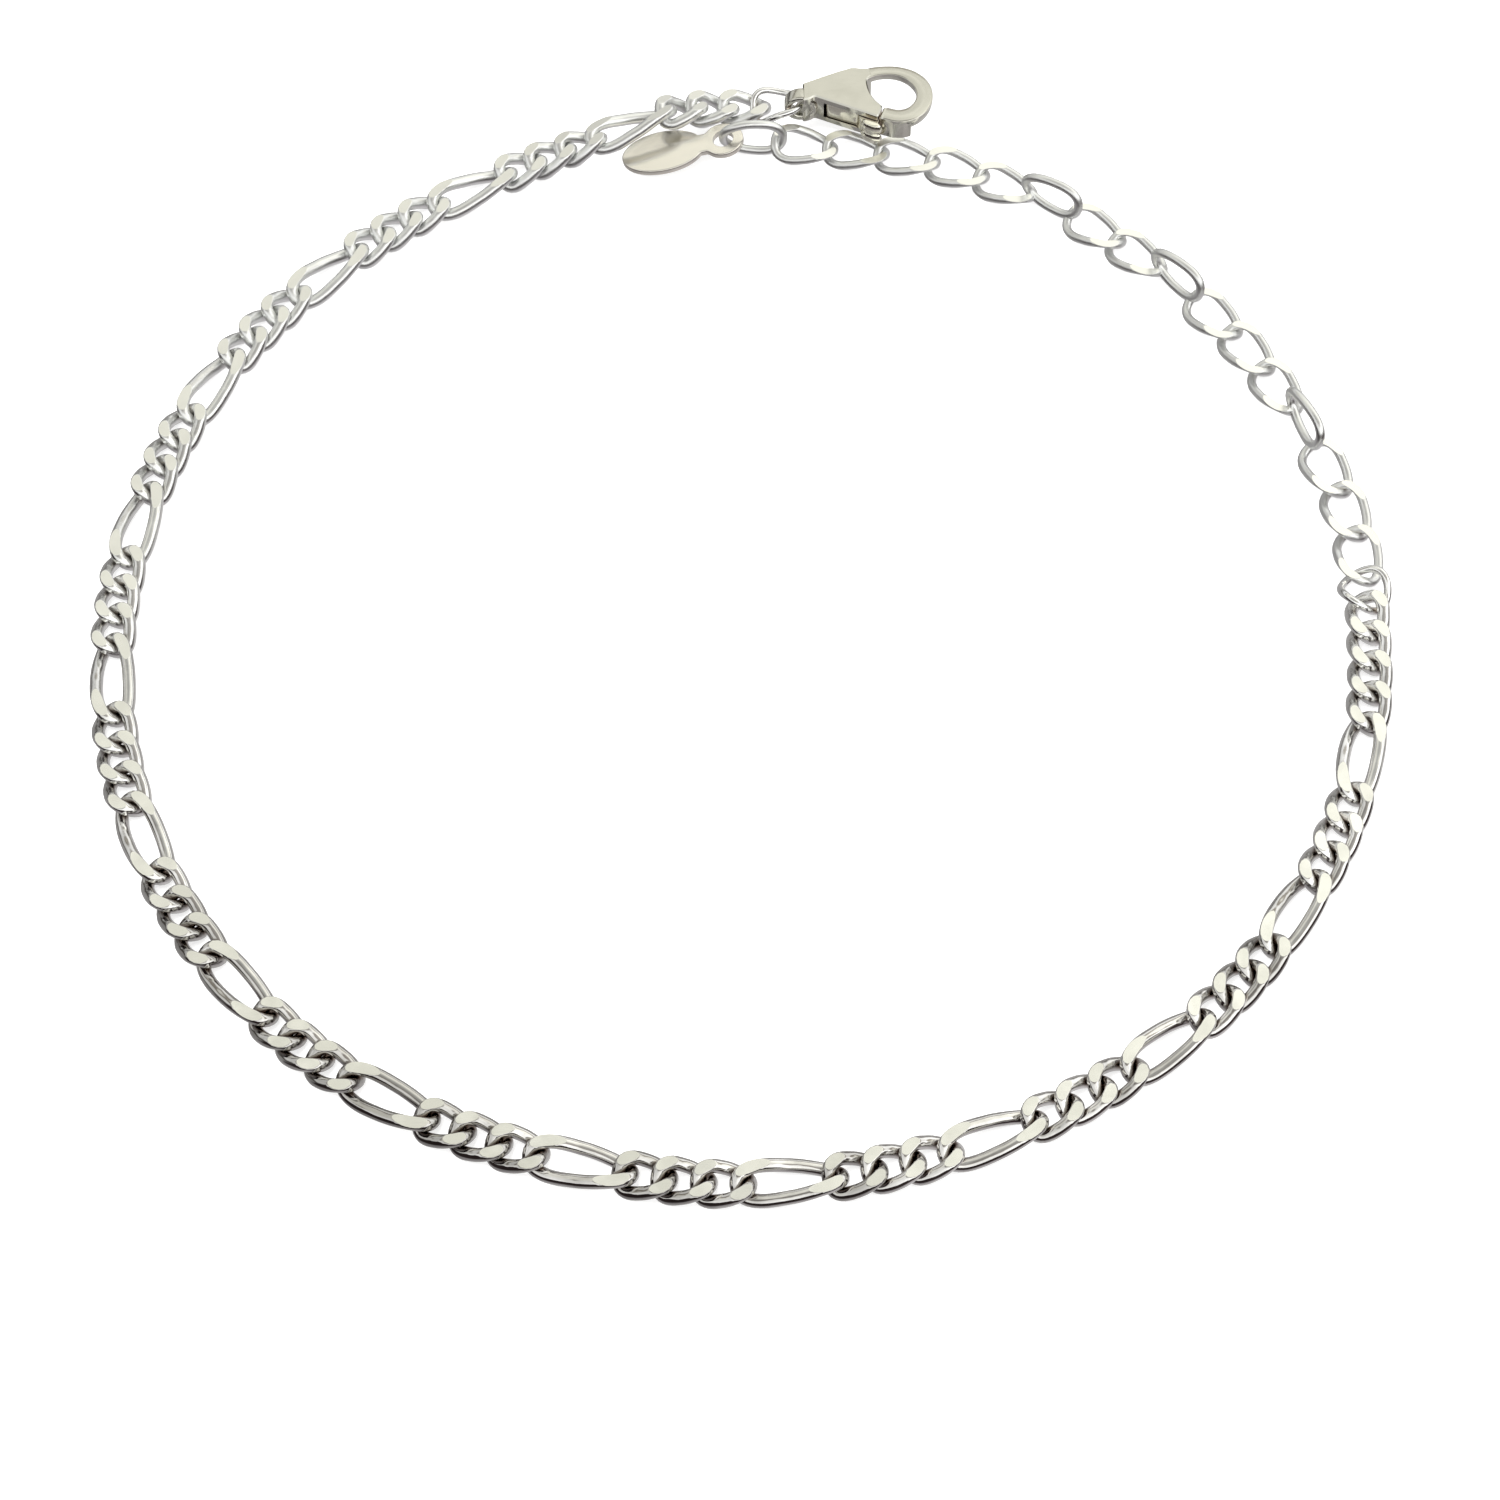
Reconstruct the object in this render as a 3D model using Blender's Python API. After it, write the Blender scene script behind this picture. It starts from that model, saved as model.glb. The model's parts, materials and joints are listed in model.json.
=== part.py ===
"""Figaro chain bracelet with an extension chain, a lobster clasp and an oval tag.

Lengths are metres, +Z is up. The bracelet lies in a closed loop. Each chain runs along a smooth route
through a few points. A link is a closed oval of wire, twisted like a curb link and cut flat above and
below, so it passes over its neighbour on one side and under it on the other.
"""
import math

import bmesh
import bpy
from mathutils import Matrix, Vector

MM = 0.001

# Figaro chain: three small links, then a long one
SMALL_PITCH = 2.066 * MM
LONG_PITCH = 4.822 * MM
FIGARO_WIRE = 0.76 * MM
FIGARO_WIDTH = 2.62 * MM
FIGARO_HEIGHT = 1.28 * MM
FIGARO_TWIST = 0.46 * MM
LONG_LINKS = 15
SMALL_PER_GROUP = 3
SMALL_AT_START = 4

# Extension chain
OPEN_PITCH = 3.30 * MM
OPEN_WIRE = 0.56 * MM
OPEN_WIDTH = 2.90 * MM
OPEN_HEIGHT = 0.86 * MM
OPEN_TWIST = 0.40 * MM
EDGE_TWIST = 0.10 * MM
OPEN_LINKS = 17

# Links of the extension that stand on edge, counted from the connector ring
EDGE_LINKS = (3, 7, 10, 16)

# Figaro links that lie over the tag, with their near side raised: which one, and by how many degrees
TILTED_LINKS = {58: 6.0, 59: 12.0, 60: 18.0, 61: 12.0, 62: 6.0}

# How deep two links of one chain sink into each other, and the gap between two nodes
FUSE = 0.15 * MM
GAP = 0.13 * MM

# Steps round a link, and the bevel resolution that gives its wire six sides
LONG_STEPS = 12
SMALL_STEPS = 10
OPEN_STEPS = 10
SIX_SIDES = 1
HEXAGON_RADIUS = 1.06
OVAL_POWER = 2.3

# Routes: X, Y and the height of the wire's middle, in millimetres
FIGARO_ROUTE = (
    (35.8, 9.18, 0.71),
    (35.3, 3.0, 0.655),
    (33.9, -3.0, 0.64),
    (31.0, -9.2, 0.64),
    (25.7, -16.2, 0.64),
    (18.5, -21.7, 0.64),
    (9.9, -25.5, 0.64),
    (0.0, -27.1, 0.64),
    (-9.6, -25.8, 0.64),
    (-18.2, -22.7, 0.64),
    (-25.2, -17.9, 0.64),
    (-31.0, -11.0, 0.64),
    (-34.9, -2.8, 0.64),
    (-36.6, 6.0, 0.64),
    (-36.1, 15.5, 0.64),
    (-33.1, 24.9, 0.64),
    (-28.2, 32.5, 0.64),
    (-21.5, 38.8, 0.67),
    (-14.0, 43.3, 0.82),
    (-6.8, 46.03, 1.68),
    (-4.3, 47.14, 1.84),
    (-2.2, 47.75, 1.22),
    (1.3, 47.9, 1.15),
)
OPEN_ROUTE = (
    (35.75, 10.93, 0.71),
    (35.4, 16.1, 0.455),
    (33.6, 21.6, 0.45),
    (30.8, 27.9, 0.45),
    (26.8, 33.3, 0.45),
    (21.9, 38.1, 0.45),
    (16.7, 41.6, 0.45),
    (11.75, 43.8, 0.45),
    (8.75, 44.5, 0.45),
    (5.5, 44.95, 0.50),
    (2.4, 45.15, 0.85),
    (-1.0, 45.08, 1.20),
)

# Rings
RING_STEPS = 12
CONNECTOR_WIRE = 0.46 * MM
CONNECTOR_TWIST = 0.515 * MM
CONNECTOR_SLACK = 0.06 * MM
JUMP_RADIUS = 1.63 * MM
JUMP_SIDE_RADIUS = 1.29 * MM
JUMP_WIRE = 0.44 * MM
JUMP_TWIST = 0.625 * MM
JUMP_EYE_TWIST = -0.02 * MM
JUMP_ROLL = math.radians(-6.3)
JUMP_LIFT = 0.105 * MM

# Clasp, from the middle of its hook. U runs from the eye to the hook, V across
CLASP_PLACE = (9.70 * MM, 47.22 * MM, 2.02 * MM)
CLASP_THICKNESS = 2.10 * MM
CLASP_BEVEL = 0.12 * MM
PLATES_OUTLINE = (
    (-5.90, -0.48),
    (-5.40, -0.33),
    (-5.15, -0.12),
    (-1.17, -1.94),
    (-0.85, -1.04),
    (-1.32, -0.50),
    (-1.62, 0.10),
    (-1.76, 0.70),
    (-1.80, 1.25),
    (-1.45, 1.62),
    (-1.60, 2.28),
    (-2.10, 2.22),
    (-2.40, 2.30),
    (-2.75, 2.32),
    (-3.65, 1.98),
    (-4.75, 1.50),
    (-5.90, 0.98),
)
SLOT_OUTLINE = (
    (-4.70, -3.20),
    (-0.60, -3.20),
    (-0.60, -0.30),
    (-1.90, 0.25),
    (-2.15, 1.15),
    (-2.90, 1.40),
    (-3.60, 1.25),
    (-4.70, 0.64),
)
SLOT_HEIGHT = 1.24 * MM
EYE_CENTRE = (-6.02 * MM, 0.15 * MM)
EYE_RADIUS = 1.04 * MM
EYE_HOLE = 0.64 * MM
EYE_WIDTH = 0.96 * MM
PIVOT = (-3.00 * MM, 0.50 * MM)
PIN_RADIUS = 0.30 * MM

# Hook: the middle of its flat top, from root to tip, and how wide it is there
HOOK_PATH = (
    (-2.10, 1.62, 0.90),
    (-1.40, 1.92, 0.78),
    (-0.55, 2.03, 0.74),
    (0.30, 1.93, 0.78),
    (1.10, 1.52, 0.90),
    (1.66, 0.80, 1.02),
    (1.84, -0.05, 1.06),
    (1.64, -0.92, 1.08),
    (1.02, -1.62, 1.08),
    (0.15, -1.87, 1.06),
    (-0.72, -1.64, 1.02),
)
HOOK_SECTION = (
    (0.44, 0.00),
    (0.50, -0.08),
    (0.48, -0.46),
    (0.30, -0.84),
    (0.00, -0.96),
    (-0.30, -0.84),
    (-0.48, -0.46),
    (-0.50, -0.08),
    (-0.44, 0.00),
)
HOOK_TOP = 1.03 * MM
TIP_OUTLINE = (
    (0.78, -1.26),
    (0.96, -2.22),
    (0.40, -2.38),
    (-0.25, -2.34),
    (-1.04, -2.03),
    (-0.72, -1.10),
    (-0.20, -1.31),
    (0.36, -1.36),
)
TIP_HEIGHT = 1.60 * MM

# Lever: its flat part, and the taller thumb tab outside the plates
LEVER_THICKNESS = 0.88 * MM
LEVER_BOSS = 0.66 * MM
LEVER_HOLE = 0.46 * MM
NOSE_OUTLINE = (
    (-2.62, -1.20),
    (-2.20, -1.90),
    (-1.20, -2.22),
    (-1.18, -1.98),
    (-0.90, -1.18),
    (-1.12, -0.92),
    (-1.50, -0.55),
    (-1.95, -0.10),
)
TAB_OUTLINE = (
    (-2.20, -1.74),
    (-1.18, -2.18),
    (-1.06, -2.40),
    (-1.22, -2.62),
    (-1.62, -2.60),
    (-2.06, -2.36),
    (-2.28, -2.02),
)
TAB_HEIGHT = 1.62 * MM

# Tag, from the centre of its hole. S runs to its far tip
TAG_THICKNESS = 0.44 * MM
TAG_BEVEL = 0.08 * MM
TAG_RING = 1.31 * MM
TAG_HOLE = 0.65 * MM
TAG_NECK = 0.75 * MM
TAG_OVAL_CENTRE = 3.90 * MM
TAG_OVAL_LENGTH = 5.30 * MM
TAG_OVAL_WIDTH = 3.30 * MM
TAG_HOLE_PLACE = (-1.28 * MM, 45.07 * MM)
TAG_TURN = math.radians(186.5)
TAG_LIFT = 0.98 * MM


def new_collection(name):
    collection = bpy.data.collections.new(name)
    bpy.context.scene.collection.children.link(collection)
    return collection


def silver(name, colour, roughness):
    material = bpy.data.materials.new(name)
    material.use_nodes = True
    shader = material.node_tree.nodes["Principled BSDF"]
    shader.inputs["Base Color"].default_value = (*colour, 1.0)
    shader.inputs["Metallic"].default_value = 1.0
    shader.inputs["Roughness"].default_value = roughness
    return material


def mesh_from_curve(curve):
    """Turn curve data into a welded mesh and remove the curve."""
    holder = bpy.data.objects.new("curve_holder", curve)
    bpy.context.scene.collection.objects.link(holder)
    depsgraph = bpy.context.evaluated_depsgraph_get()
    mesh = bpy.data.meshes.new_from_object(holder.evaluated_get(depsgraph))
    bpy.data.objects.remove(holder)
    bpy.data.curves.remove(curve)
    shape = bmesh.new()
    shape.from_mesh(mesh)
    bmesh.ops.remove_doubles(shape, verts=shape.verts, dist=0.001 * MM)
    bmesh.ops.recalc_face_normals(shape, faces=shape.faces)
    shape.to_mesh(mesh)
    shape.free()
    return mesh


def add_spline(curve, points, cyclic, radii=None, tilt=0.0):
    spline = curve.splines.new("POLY")
    spline.points.add(len(points) - 1)
    for index, point in enumerate(points):
        spline.points[index].co = (*point, 1.0)
        if radii:
            spline.points[index].radius = radii[index]
        spline.points[index].tilt = tilt
    spline.use_cyclic_u = cyclic


def wire_mesh(points, wire):
    """A closed loop of six-sided wire with an edge on top."""
    curve = bpy.data.curves.new("wire", "CURVE")
    curve.dimensions = "3D"
    curve.bevel_depth = HEXAGON_RADIUS * wire / 2
    curve.bevel_resolution = SIX_SIDES
    curve.twist_mode = "Z_UP"
    add_spline(curve, points, True, tilt=math.radians(30.0))
    return mesh_from_curve(curve)


def plate_mesh(outlines, thickness, bevel=0.0):
    """A flat plate about Z = 0. The first outline is its edge and the others are holes."""
    curve = bpy.data.curves.new("plate", "CURVE")
    curve.dimensions = "2D"
    curve.fill_mode = "BOTH"
    curve.bevel_depth = bevel
    curve.bevel_resolution = 0
    curve.offset = -bevel
    curve.extrude = thickness / 2 - bevel
    for outline in outlines:
        add_spline(curve, [(u, v, 0.0) for u, v in outline], True)
    return mesh_from_curve(curve)


def arc(centre, radius, start, end, steps):
    """Points along an arc, both ends included."""
    points = []
    for index in range(steps + 1):
        angle = start + (end - start) * index / steps
        points.append((centre[0] + radius * math.cos(angle), centre[1] + radius * math.sin(angle)))
    return points


def smooth_route(points, steps=40):
    """A dense curve through the points, with the tangents of their neighbours."""
    places = [Vector(point) * MM for point in points]
    first = places[0] * 2 - places[1]
    last = places[-1] * 2 - places[-2]
    places = [first] + places + [last]
    dense = []
    for index in range(1, len(places) - 2):
        before, start, end, after = places[index - 1:index + 3]
        span = (end - start).length
        out_slope = (end - before) / ((end - start).length + (start - before).length) * span
        in_slope = (after - start) / ((after - end).length + (end - start).length) * span
        for step in range(steps):
            t = step / steps
            dense.append(
                start * (2 * t ** 3 - 3 * t ** 2 + 1)
                + out_slope * (t ** 3 - 2 * t ** 2 + t)
                + end * (3 * t ** 2 - 2 * t ** 3)
                + in_slope * (t ** 3 - t ** 2)
            )
    dense.append(places[-2])
    dense.append(places[-2] + (places[-2] - dense[-2]).normalized() * 3 * MM)
    return dense


def joints_along(route, pitches):
    """Walk the route in straight steps, one pitch each."""
    joints = [route[0]]
    index = 0
    for pitch in pitches:
        while (route[index + 1] - joints[-1]).length < pitch:
            index += 1
        low, high = 0.0, 1.0
        for _ in range(30):
            middle = (low + high) / 2
            place = route[index].lerp(route[index + 1], middle)
            if (place - joints[-1]).length < pitch:
                low = middle
            else:
                high = middle
        joints.append(route[index].lerp(route[index + 1], high))
    return joints


def link_place(start, end, roll=0.0):
    """The matrix that lays a link's long axis from one joint to the next."""
    along = (end - start).normalized()
    across = Vector((0.0, 0.0, 1.0)).cross(along).normalized()
    up = along.cross(across)
    turn = Matrix((along, across, up)).transposed() @ Matrix.Rotation(roll, 3, "X")
    return Matrix.Translation((start + end) / 2) @ turn.to_4x4()


def oval_points(length, width, twist, steps, power=OVAL_POWER):
    """The middle of a link's wire, twisted by raising two opposite quarters and lowering the others."""
    points = []
    for index in range(steps):
        angle = 2 * math.pi * index / steps
        cosine, sine = math.cos(angle), math.sin(angle)
        x = length / 2 * math.copysign(abs(cosine) ** (2 / power), cosine)
        y = width / 2 * math.copysign(abs(sine) ** (2 / power), sine)
        points.append((x, y, -twist * math.sin(2 * angle)))
    return points


def link_mesh(pitch, wire, width, twist, height, steps, power=OVAL_POWER):
    """One link along X, cut flat above and below."""
    mesh = wire_mesh(oval_points(pitch + wire - FUSE, width - wire, twist, steps, power), wire)
    for vertex in mesh.vertices:
        vertex.co.z = max(-height / 2, min(height / 2, vertex.co.z))
    shape = bmesh.new()
    shape.from_mesh(mesh)
    bmesh.ops.triangulate(shape, faces=shape.faces)
    shape.to_mesh(mesh)
    shape.free()
    return mesh


def mesh_object(name, mesh, collection, material):
    piece = bpy.data.objects.new(name, mesh)
    mesh.materials.clear()
    mesh.materials.append(material)
    collection.objects.link(piece)
    return piece


def merged_object(name, placed, collection, material):
    """One object that holds several placed copies of link meshes."""
    shape = bmesh.new()
    for mesh, matrix in placed:
        copy = mesh.copy()
        copy.transform(matrix)
        shape.from_mesh(copy)
        bpy.data.meshes.remove(copy)
    joined = bpy.data.meshes.new(name)
    shape.to_mesh(joined)
    shape.free()
    return mesh_object(name, joined, collection, material)


def boolean(piece, cutter, operation):
    modifier = piece.modifiers.new(cutter.name, "BOOLEAN")
    modifier.operation = operation
    modifier.object = cutter
    modifier.solver = "EXACT"
    cutter.hide_render = True
    cutter.display_type = "WIRE"


def cylinder_mesh(radius, depth, steps, matrix):
    shape = bmesh.new()
    bmesh.ops.create_cone(
        shape, cap_ends=True, segments=steps, radius1=radius, radius2=radius, depth=depth, matrix=matrix
    )
    mesh = bpy.data.meshes.new("cylinder")
    shape.to_mesh(mesh)
    shape.free()
    return mesh


def figaro_chain(parts, tools, material):
    small = link_mesh(SMALL_PITCH, FIGARO_WIRE, FIGARO_WIDTH, FIGARO_TWIST, FIGARO_HEIGHT, SMALL_STEPS)
    long = link_mesh(LONG_PITCH, FIGARO_WIRE, FIGARO_WIDTH, FIGARO_TWIST, FIGARO_HEIGHT, LONG_STEPS)
    kinds = [(small, SMALL_PITCH)] * SMALL_AT_START
    kinds += ([(long, LONG_PITCH)] + [(small, SMALL_PITCH)] * SMALL_PER_GROUP) * LONG_LINKS
    joints = joints_along(smooth_route(FIGARO_ROUTE), [pitch for _, pitch in kinds])
    placed = []
    for index, (mesh, _) in enumerate(kinds):
        roll = math.radians(-TILTED_LINKS.get(index, 0.0))
        placed.append((mesh, link_place(joints[index], joints[index + 1], roll)))
    chain = merged_object("figaro_chain", placed[0::2], parts, material)
    others = merged_object("figaro_chain_others", placed[1::2], tools, material)
    boolean(chain, others, "UNION")
    return chain, joints


def extension_chain(parts, tools, material):
    flat = link_mesh(OPEN_PITCH, OPEN_WIRE, OPEN_WIDTH, OPEN_TWIST, OPEN_HEIGHT, OPEN_STEPS)
    plain = link_mesh(OPEN_PITCH, OPEN_WIRE, OPEN_WIDTH, EDGE_TWIST, OPEN_HEIGHT, OPEN_STEPS)
    upright = math.radians(90.0)
    joints = joints_along(smooth_route(OPEN_ROUTE), [OPEN_PITCH] * OPEN_LINKS)
    placed = []
    for index in range(OPEN_LINKS):
        start, end = joints[index], joints[index + 1]
        if index in EDGE_LINKS:
            lift = Vector((0.0, 0.0, OPEN_WIDTH / 2 - (start.z + end.z) / 2))
            placed.append((plain, link_place(start + lift, end + lift, upright)))
        else:
            placed.append((flat, link_place(start, end)))
    chain = merged_object("extension_chain", placed[0::2], parts, material)
    others = merged_object("extension_chain_others", placed[1::2], tools, material)
    boolean(chain, others, "UNION")
    return chain, joints


def connector_ring(parts, material, figaro_start, open_start):
    """The twisted round ring that joins the two chains, clear of both."""
    reach = (open_start - figaro_start).length + FUSE + 2 * GAP + HEXAGON_RADIUS * CONNECTOR_WIRE
    reach += CONNECTOR_SLACK
    mesh = wire_mesh(oval_points(reach, reach, CONNECTOR_TWIST, RING_STEPS, 2.0), CONNECTOR_WIRE)
    mesh.transform(link_place(figaro_start, open_start))
    return mesh_object("connector_ring", mesh, parts, material)


def jump_ring(parts, material, figaro_end, eye):
    """The oval ring in the clasp's eye. Only its half in the figaro chain is twisted."""
    along = (eye - figaro_end).normalized()
    centre = eye - along * JUMP_RADIUS
    centre.z += JUMP_LIFT
    circle = []
    for index in range(RING_STEPS):
        angle = 2 * math.pi * index / RING_STEPS
        twist = JUMP_TWIST if math.cos(angle) < 0 else JUMP_EYE_TWIST
        height = -twist * math.sin(2 * angle)
        circle.append((JUMP_RADIUS * math.cos(angle), JUMP_SIDE_RADIUS * math.sin(angle), height))
    mesh = wire_mesh(circle, JUMP_WIRE)
    mesh.transform(link_place(centre - along * MM, centre + along * MM, JUMP_ROLL))
    return mesh_object("jump_ring", mesh, parts, material)


def scaled(points):
    return [tuple(value * MM for value in point) for point in points]


def hook_mesh():
    """The hook: a bar with a flat top that runs round from the spine to the mouth."""
    section = bpy.data.curves.new("hook_section", "CURVE")
    section.dimensions = "2D"
    add_spline(section, [(u, v, 0.0) for u, v in scaled(HOOK_SECTION)], True)
    holder = bpy.data.objects.new("hook_section", section)

    curve = bpy.data.curves.new("hook", "CURVE")
    curve.dimensions = "3D"
    curve.twist_mode = "Z_UP"
    curve.bevel_mode = "OBJECT"
    curve.bevel_object = holder
    curve.use_fill_caps = True
    path = smooth_route([(u, v, width) for u, v, width in HOOK_PATH], 2)[:-1]
    widths = [place.z / MM for place in path]
    add_spline(curve, [(place.x, place.y, HOOK_TOP) for place in path], False, radii=widths)
    mesh = mesh_from_curve(curve)
    bpy.data.objects.remove(holder)
    bpy.data.curves.remove(section)
    return mesh


def clasp_body(parts, tools, material, place):
    plates = mesh_object(
        "clasp_body", plate_mesh([scaled(PLATES_OUTLINE)], CLASP_THICKNESS, CLASP_BEVEL), parts, material
    )
    slot = mesh_object("clasp_slot", plate_mesh([scaled(SLOT_OUTLINE)], SLOT_HEIGHT), tools, material)
    hook = mesh_object("clasp_hook", hook_mesh(), tools, material)
    tip_mesh = plate_mesh([scaled(TIP_OUTLINE)], TIP_HEIGHT, CLASP_BEVEL)
    tip_mesh.transform(Matrix.Translation((0.0, 0.0, HOOK_TOP - 0.01 * MM - TIP_HEIGHT / 2)))
    tip = mesh_object("clasp_hook_tip", tip_mesh, tools, material)

    eye_place = Matrix.Translation((*EYE_CENTRE, 0.0)) @ Matrix.Rotation(math.radians(90.0), 4, "X")
    eye = mesh_object("clasp_eye", cylinder_mesh(EYE_RADIUS, EYE_WIDTH, 16, eye_place), tools, material)
    eye_hole = mesh_object("clasp_eye_hole", cylinder_mesh(EYE_HOLE, 4 * EYE_WIDTH, 14, eye_place), tools, material)
    pin_place = Matrix.Translation((*PIVOT, 0.0))
    pin_length = (CLASP_THICKNESS + SLOT_HEIGHT) / 2
    pin = mesh_object("clasp_pin", cylinder_mesh(PIN_RADIUS, pin_length, 10, pin_place), tools, material)

    boolean(plates, eye, "UNION")
    boolean(plates, slot, "DIFFERENCE")
    boolean(plates, eye_hole, "DIFFERENCE")
    boolean(plates, pin, "UNION")
    boolean(plates, hook, "UNION")
    boolean(plates, tip, "UNION")
    for piece in (plates, eye, slot, eye_hole, pin, hook, tip):
        piece.matrix_world = place
    return plates


def clasp_lever(parts, tools, material, place):
    """The lever, whose origin lies on its pivot."""
    outline = scaled(NOSE_OUTLINE) + arc(PIVOT, LEVER_BOSS, math.radians(10.0), math.radians(230.0), 10)
    lever = mesh_object("clasp_lever", plate_mesh([outline], LEVER_THICKNESS), parts, material)
    tab = mesh_object("lever_tab", plate_mesh([scaled(TAB_OUTLINE)], TAB_HEIGHT, CLASP_BEVEL), tools, material)
    bore_place = Matrix.Translation((*PIVOT, 0.0))
    bore = mesh_object("lever_bore", cylinder_mesh(LEVER_HOLE, 4 * LEVER_THICKNESS, 14, bore_place), tools, material)
    boolean(lever, tab, "UNION")
    boolean(lever, bore, "DIFFERENCE")
    to_pivot = Matrix.Translation((*PIVOT, 0.0))
    for piece in (lever, tab, bore):
        piece.data.transform(to_pivot.inverted())
        piece.matrix_world = place @ to_pivot
    return lever


def tag_half_width(along):
    ring = math.sqrt(max(0.0, TAG_RING ** 2 - along ** 2))
    oval_place = (along - TAG_OVAL_CENTRE) / (TAG_OVAL_LENGTH / 2)
    oval = TAG_OVAL_WIDTH / 2 * math.sqrt(max(0.0, 1.0 - oval_place ** 2))
    neck = TAG_NECK if 0.0 < along < TAG_OVAL_CENTRE else 0.0
    return max(ring, oval, neck)


def end_tag(parts, material):
    """The blank tag: an oval plate and a round end with a hole, leaning on the link through it."""
    start = -TAG_RING
    end = TAG_OVAL_CENTRE + TAG_OVAL_LENGTH / 2
    steps = 16
    upper = []
    for index in range(1, steps):
        along = start + (end - start) * (1 - math.cos(math.pi * index / steps)) / 2
        upper.append((along, tag_half_width(along)))
    lower = [(along, -half) for along, half in reversed(upper)]
    outline = [(start, 0.0)] + upper + [(end, 0.0)] + lower
    hole = arc((0.0, 0.0), TAG_HOLE, 0.0, 2 * math.pi, 12)[:-1]
    mesh = plate_mesh([outline, hole], TAG_THICKNESS, TAG_BEVEL)
    dip = math.atan2(TAG_LIFT, end)
    height = TAG_LIFT + TAG_THICKNESS / 2
    place = Matrix.Translation((*TAG_HOLE_PLACE, height)) @ Matrix.Rotation(TAG_TURN, 4, "Z")
    mesh.transform(place @ Matrix.Rotation(dip, 4, "Y"))
    return mesh_object("end_tag", mesh, parts, material)


def centre_on_origin(parts, tools):
    """Move everything so that the origin is the middle of the underside."""
    depsgraph = bpy.context.evaluated_depsgraph_get()
    corners = []
    for piece in parts.objects:
        evaluated = piece.evaluated_get(depsgraph)
        corners += [piece.matrix_world @ vertex.co for vertex in evaluated.data.vertices]
    low = [min(corner[axis] for corner in corners) for axis in range(3)]
    high = [max(corner[axis] for corner in corners) for axis in range(3)]
    shift = Vector(((low[0] + high[0]) / 2, (low[1] + high[1]) / 2, low[2]))
    for piece in list(parts.objects) + list(tools.objects):
        piece.location = piece.location - shift
    return shift


def main():
    for piece in list(bpy.data.objects):
        bpy.data.objects.remove(piece)
    parts = new_collection("figaro_chain_bracelet")
    tools = new_collection("cutters")
    chain_silver = silver("chain_silver", (0.86, 0.84, 0.78), 0.14)
    extension_silver = silver("extension_silver", (0.84, 0.83, 0.79), 0.14)
    connector_silver = silver("connector_silver", (0.84, 0.83, 0.79), 0.12)
    ring_silver = silver("ring_silver", (0.84, 0.83, 0.79), 0.12)
    clasp_silver = silver("clasp_silver", (0.80, 0.78, 0.70), 0.18)
    lever_silver = silver("lever_silver", (0.82, 0.79, 0.68), 0.18)
    tag_silver = silver("tag_silver", (0.82, 0.80, 0.73), 0.16)

    figaro, figaro_joints = figaro_chain(parts, tools, chain_silver)
    extension, open_joints = extension_chain(parts, tools, extension_silver)
    connector_ring(parts, connector_silver, figaro_joints[0], open_joints[0])
    place = Matrix.Translation(CLASP_PLACE)
    clasp_body(parts, tools, clasp_silver, place)
    clasp_lever(parts, tools, lever_silver, place)
    jump_ring(parts, ring_silver, figaro_joints[-1], place @ Vector((*EYE_CENTRE, 0.0)))
    end_tag(parts, tag_silver)

    bpy.context.view_layer.update()
    shift = centre_on_origin(parts, tools)
    bpy.context.view_layer.update()
    return shift, figaro_joints, open_joints


if __name__ == "__main__":
    main()
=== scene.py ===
"""Looks of the figaro chain bracelet: fine round wire with cut flats, a cast clasp and a stamped tag.

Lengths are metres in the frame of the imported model. The places of links and clasp are worked out in the
bracelet's layout, whose origin lies near the middle of the loop, and then moved onto the frame.
"""
import json
import math
import random

import bmesh
import bpy
from mathutils import Matrix, Vector

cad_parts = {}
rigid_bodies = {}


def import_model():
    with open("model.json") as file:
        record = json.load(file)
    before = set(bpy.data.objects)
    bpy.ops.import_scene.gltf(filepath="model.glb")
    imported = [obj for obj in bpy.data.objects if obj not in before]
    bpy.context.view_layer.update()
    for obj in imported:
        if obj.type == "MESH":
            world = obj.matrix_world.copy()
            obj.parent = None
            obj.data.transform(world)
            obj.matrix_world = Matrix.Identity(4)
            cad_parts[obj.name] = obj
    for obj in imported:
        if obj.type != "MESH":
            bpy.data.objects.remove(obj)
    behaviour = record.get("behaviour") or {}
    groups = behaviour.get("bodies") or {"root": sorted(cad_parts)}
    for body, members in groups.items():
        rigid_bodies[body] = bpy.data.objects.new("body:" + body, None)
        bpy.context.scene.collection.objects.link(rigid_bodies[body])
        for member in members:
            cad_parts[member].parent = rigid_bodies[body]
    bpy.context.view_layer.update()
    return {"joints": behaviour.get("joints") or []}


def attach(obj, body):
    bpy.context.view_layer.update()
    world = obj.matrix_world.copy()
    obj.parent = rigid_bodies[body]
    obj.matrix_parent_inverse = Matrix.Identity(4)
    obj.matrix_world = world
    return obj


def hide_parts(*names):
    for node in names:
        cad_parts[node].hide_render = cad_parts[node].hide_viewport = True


MM = 0.001

# Figaro chain: three small links, then a long one
SMALL_PITCH = 2.066 * MM
LONG_PITCH = 4.822 * MM
FIGARO_WIRE = 0.76 * MM
FIGARO_WIDTH = 2.62 * MM
FIGARO_HEIGHT = 1.28 * MM
FIGARO_TWIST = 0.46 * MM
LONG_LINKS = 15
SMALL_PER_GROUP = 3
SMALL_AT_START = 4

# Extension chain
OPEN_PITCH = 3.30 * MM
OPEN_WIRE = 0.56 * MM
OPEN_WIDTH = 2.90 * MM
OPEN_HEIGHT = 0.86 * MM
OPEN_TWIST = 0.40 * MM
EDGE_TWIST = 0.10 * MM
OPEN_LINKS = 17
EDGE_LINKS = (3, 7, 10, 16)

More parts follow.
